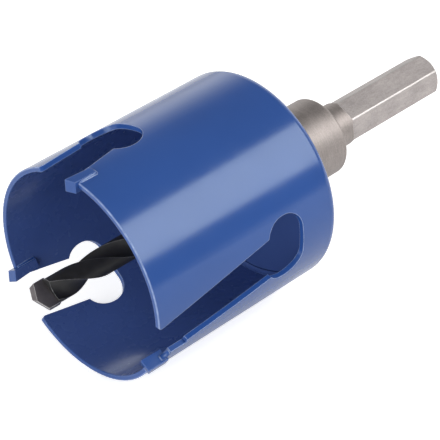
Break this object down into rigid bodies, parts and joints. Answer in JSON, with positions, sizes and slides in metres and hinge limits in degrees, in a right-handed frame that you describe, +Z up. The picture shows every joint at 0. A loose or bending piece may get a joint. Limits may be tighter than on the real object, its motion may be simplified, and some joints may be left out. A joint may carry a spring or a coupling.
{
  "type": "hole saw",
  "caption": "Carbide-tipped hole saw on a hexagonal-shank arbor with a pilot drill: a slotted round cup that cuts large holes in mixed building materials.",
  "frame": {"origin": "centre of the shank's end face, on the tool's axis", "axes": "the tool lies on its side: +X runs along its axis and out of the shank's end, the teeth face -X, and +Z is up"},
  "size_m": [0.1613, 0.0664, 0.0673],
  "materials": {
    "cup_paint": "glossy blue powder coat",
    "tip_paint": "the same blue coat over carbide",
    "arbor_steel": "bright turned and milled steel",
    "drill_black": "black oxide, satin",
    "drill_carbide": "dark ground carbide",
    "screw_black": "black oxide"
  },
  "bodies": {
    "root": {"saw_cup": "cup_paint", "base_disc": "cup_paint", "cutting_tip_1": "tip_paint", "cutting_tip_2": "tip_paint", "cutting_tip_3": "tip_paint", "arbor": "arbor_steel", "pilot_drill": "drill_black", "pilot_drill_tip": "drill_carbide", "drill_clamp_screw": "screw_black"}
  },
  "joints": []
}
